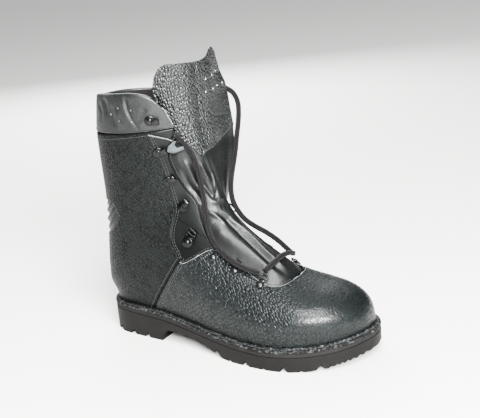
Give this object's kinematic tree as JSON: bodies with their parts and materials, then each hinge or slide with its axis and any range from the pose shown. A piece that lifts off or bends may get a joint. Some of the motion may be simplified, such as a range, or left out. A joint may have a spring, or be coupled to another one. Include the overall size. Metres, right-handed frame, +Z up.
{
  "type": "combat boot",
  "caption": "Black leather combat boot for the right foot, with padded collar, tall tongue, speed hooks, lace loops, open laces and a welted rubber lug sole.",
  "frame": {"origin": "on the floor under the middle of the heel's tread", "axes": "+X to the toe, +Y to the wearer's left (the medial side), +Z up"},
  "size_m": [0.3161, 0.1396, 0.3103],
  "materials": {
    "grained_leather": "pebbled grain, waxed, soft sheen",
    "smooth_leather": "smooth soft leather, creased, soft sheen",
    "sole_rubber": "matte",
    "welt_leather": "rough waxed edge, matte",
    "lining_fabric": "matte",
    "black_metal": "black coating, glossy, worn at the edges",
    "lace_cord": "braided, matte"
  },
  "bodies": {
    "root": {"outsole": "sole_rubber", "midsole": "sole_rubber", "welt": "welt_leather", "insole": "lining_fabric", "upper": "grained_leather", "collar": "smooth_leather", "tongue": "smooth_leather", "lace_bar": "lace_cord", "lace_lateral": "lace_cord", "lace_medial": "lace_cord", "hook_lateral_1": "black_metal", "hook_lateral_2": "black_metal", "hook_lateral_3": "black_metal", "hook_lateral_4": "black_metal", "lock_lateral_5": "black_metal", "lace_loop_lateral_1": "black_metal", "lace_loop_lateral_2": "black_metal", "lace_loop_lateral_3": "black_metal", "hook_medial_1": "black_metal", "hook_medial_2": "black_metal", "hook_medial_3": "black_metal", "hook_medial_4": "black_metal", "lock_medial_5": "black_metal", "lace_loop_medial_1": "black_metal", "lace_loop_medial_2": "black_metal", "lace_loop_medial_3": "black_metal"}
  },
  "joints": []
}
